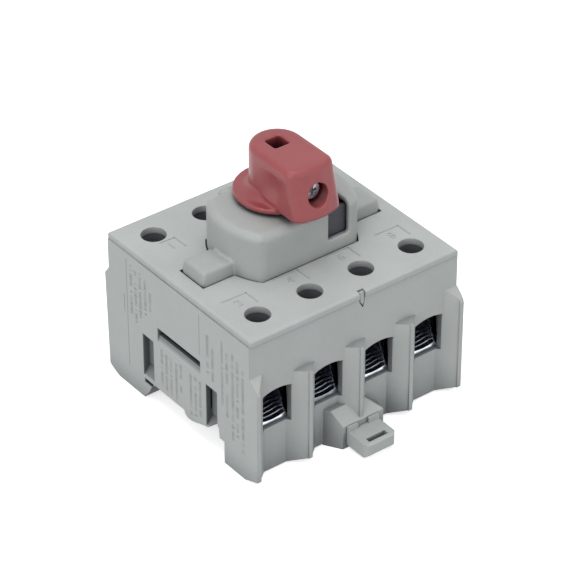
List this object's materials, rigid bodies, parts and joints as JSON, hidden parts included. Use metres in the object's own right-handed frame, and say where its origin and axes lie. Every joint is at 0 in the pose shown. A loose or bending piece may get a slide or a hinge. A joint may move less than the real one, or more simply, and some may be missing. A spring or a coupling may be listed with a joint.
{
  "type": "rail-mounted four-pole rotary disconnect switch",
  "caption": "Grey moulded rotary disconnect switch for a 35 mm rail, with a red turning grip, arched wire entries and box clamps.",
  "frame": {"origin": "on the rail seat under the body, in the middle of the cover in plan", "axes": "+Z away from the rail through the grip, +X along the rail, -Y towards the rail clip"},
  "size_m": [0.07, 0.0772, 0.0768],
  "materials": {
    "housing_plastic": "light grey moulded thermoplastic, fine matt texture",
    "hood_plastic": "light grey moulded thermoplastic, slightly warmer",
    "handle_plastic": "red moulded thermoplastic, satin",
    "dark_plastic": "near-black moulded thermoplastic",
    "zinc_steel": "bright zinc-plated steel",
    "spring_steel": "drawn spring wire",
    "contact_copper": "tin-brushed copper with contact tips"
  },
  "bodies": {
    "housing": {"base_housing": "housing_plastic", "top_cover": "housing_plastic", "mechanism_hood": "hood_plastic", "mechanism_frame": "dark_plastic", "fixed_contact_front_1": "contact_copper", "fixed_contact_front_2": "contact_copper", "fixed_contact_front_3": "contact_copper", "fixed_contact_front_4": "contact_copper", "fixed_contact_rear_1": "contact_copper", "fixed_contact_rear_2": "contact_copper", "fixed_contact_rear_3": "contact_copper", "fixed_contact_rear_4": "contact_copper"},
    "actuator": {"handle": "handle_plastic", "handle_screw": "zinc_steel", "drive_shaft": "zinc_steel", "index_drum": "dark_plastic", "snap_spring": "spring_steel", "spiral_cam": "dark_plastic"},
    "contact_slide": {"contact_carrier": "dark_plastic", "moving_bridge_1": "contact_copper", "moving_bridge_2": "contact_copper", "moving_bridge_3": "contact_copper", "moving_bridge_4": "contact_copper", "bridge_spring_1": "spring_steel", "bridge_spring_2": "spring_steel", "bridge_spring_3": "spring_steel", "bridge_spring_4": "spring_steel"},
    "rail_clip": {"din_clip": "housing_plastic"},
    "screw_front_1": {"terminal_screw_front_1": "zinc_steel"},
    "clamp_front_1": {"terminal_clamp_front_1": "zinc_steel"},
    "screw_front_2": {"terminal_screw_front_2": "zinc_steel"},
    "clamp_front_2": {"terminal_clamp_front_2": "zinc_steel"},
    "screw_front_3": {"terminal_screw_front_3": "zinc_steel"},
    "clamp_front_3": {"terminal_clamp_front_3": "zinc_steel"},
    "screw_front_4": {"terminal_screw_front_4": "zinc_steel"},
    "clamp_front_4": {"terminal_clamp_front_4": "zinc_steel"},
    "screw_rear_1": {"terminal_screw_rear_1": "zinc_steel"},
    "clamp_rear_1": {"terminal_clamp_rear_1": "zinc_steel"},
    "screw_rear_2": {"terminal_screw_rear_2": "zinc_steel"},
    "clamp_rear_2": {"terminal_clamp_rear_2": "zinc_steel"},
    "screw_rear_3": {"terminal_screw_rear_3": "zinc_steel"},
    "clamp_rear_3": {"terminal_clamp_rear_3": "zinc_steel"},
    "screw_rear_4": {"terminal_screw_rear_4": "zinc_steel"},
    "clamp_rear_4": {"terminal_clamp_rear_4": "zinc_steel"}
  },
  "joints": [
    {"name": "handle_turn", "type": "hinge", "parent": "housing", "child": "actuator", "pos_m": [0, 0.002, 0.05], "axis": [0, 0, 1], "range_deg": [0, 90]},
    {"name": "contact_travel", "type": "slide", "parent": "housing", "child": "contact_slide", "axis": [1, 0, 0], "range_m": [0, 0.006]},
    {"name": "clip_pull", "type": "slide", "parent": "housing", "child": "rail_clip", "axis": [0, -1, 0], "range_m": [0, 0.0035], "stiffness_N_per_m": 1500, "springref_m": -0.001},
    {"name": "screw_front_1_turn", "type": "hinge", "parent": "housing", "child": "screw_front_1", "pos_m": [-0.02573, -0.0232, 0.03], "axis": [0, 0, 1], "range_deg": [-2880, 0]},
    {"name": "clamp_front_1_rise", "type": "slide", "parent": "housing", "child": "clamp_front_1", "axis": [0, 0, 1], "range_m": [0, 0.0064]},
    {"name": "screw_front_2_turn", "type": "hinge", "parent": "housing", "child": "screw_front_2", "pos_m": [-0.00857, -0.0232, 0.03], "axis": [0, 0, 1], "range_deg": [-2880, 0]},
    {"name": "clamp_front_2_rise", "type": "slide", "parent": "housing", "child": "clamp_front_2", "axis": [0, 0, 1], "range_m": [0, 0.0064]},
    {"name": "screw_front_3_turn", "type": "hinge", "parent": "housing", "child": "screw_front_3", "pos_m": [0.00857, -0.0232, 0.03], "axis": [0, 0, 1], "range_deg": [-2880, 0]},
    {"name": "clamp_front_3_rise", "type": "slide", "parent": "housing", "child": "clamp_front_3", "axis": [0, 0, 1], "range_m": [0, 0.0064]},
    {"name": "screw_front_4_turn", "type": "hinge", "parent": "housing", "child": "screw_front_4", "pos_m": [0.02573, -0.0232, 0.03], "axis": [0, 0, 1], "range_deg": [-2880, 0]},
    {"name": "clamp_front_4_rise", "type": "slide", "parent": "housing", "child": "clamp_front_4", "axis": [0, 0, 1], "range_m": [0, 0.0064]},
    {"name": "screw_rear_1_turn", "type": "hinge", "parent": "housing", "child": "screw_rear_1", "pos_m": [-0.02573, 0.0232, 0.03], "axis": [0, 0, 1], "range_deg": [-2880, 0]},
    {"name": "clamp_rear_1_rise", "type": "slide", "parent": "housing", "child": "clamp_rear_1", "axis": [0, 0, 1], "range_m": [0, 0.0064]},
    {"name": "screw_rear_2_turn", "type": "hinge", "parent": "housing", "child": "screw_rear_2", "pos_m": [-0.00857, 0.0232, 0.03], "axis": [0, 0, 1], "range_deg": [-2880, 0]},
    {"name": "clamp_rear_2_rise", "type": "slide", "parent": "housing", "child": "clamp_rear_2", "axis": [0, 0, 1], "range_m": [0, 0.0064]},
    {"name": "screw_rear_3_turn", "type": "hinge", "parent": "housing", "child": "screw_rear_3", "pos_m": [0.00857, 0.0232, 0.03], "axis": [0, 0, 1], "range_deg": [-2880, 0]},
    {"name": "clamp_rear_3_rise", "type": "slide", "parent": "housing", "child": "clamp_rear_3", "axis": [0, 0, 1], "range_m": [0, 0.0064]},
    {"name": "screw_rear_4_turn", "type": "hinge", "parent": "housing", "child": "screw_rear_4", "pos_m": [0.02573, 0.0232, 0.03], "axis": [0, 0, 1], "range_deg": [-2880, 0]},
    {"name": "clamp_rear_4_rise", "type": "slide", "parent": "housing", "child": "clamp_rear_4", "axis": [0, 0, 1], "range_m": [0, 0.0064]}
  ],
  "couplings": [
    {"joint": "handle_turn", "follows": "contact_travel", "rad_per_m": 261.8},
    {"joint": "screw_front_1_turn", "follows": "clamp_front_1_rise", "rad_per_m": -7854},
    {"joint": "screw_front_2_turn", "follows": "clamp_front_2_rise", "rad_per_m": -7854},
    {"joint": "screw_front_3_turn", "follows": "clamp_front_3_rise", "rad_per_m": -7854},
    {"joint": "screw_front_4_turn", "follows": "clamp_front_4_rise", "rad_per_m": -7854},
    {"joint": "screw_rear_1_turn", "follows": "clamp_rear_1_rise", "rad_per_m": -7854},
    {"joint": "screw_rear_2_turn", "follows": "clamp_rear_2_rise", "rad_per_m": -7854},
    {"joint": "screw_rear_3_turn", "follows": "clamp_rear_3_rise", "rad_per_m": -7854},
    {"joint": "screw_rear_4_turn", "follows": "clamp_rear_4_rise", "rad_per_m": -7854}
  ]
}
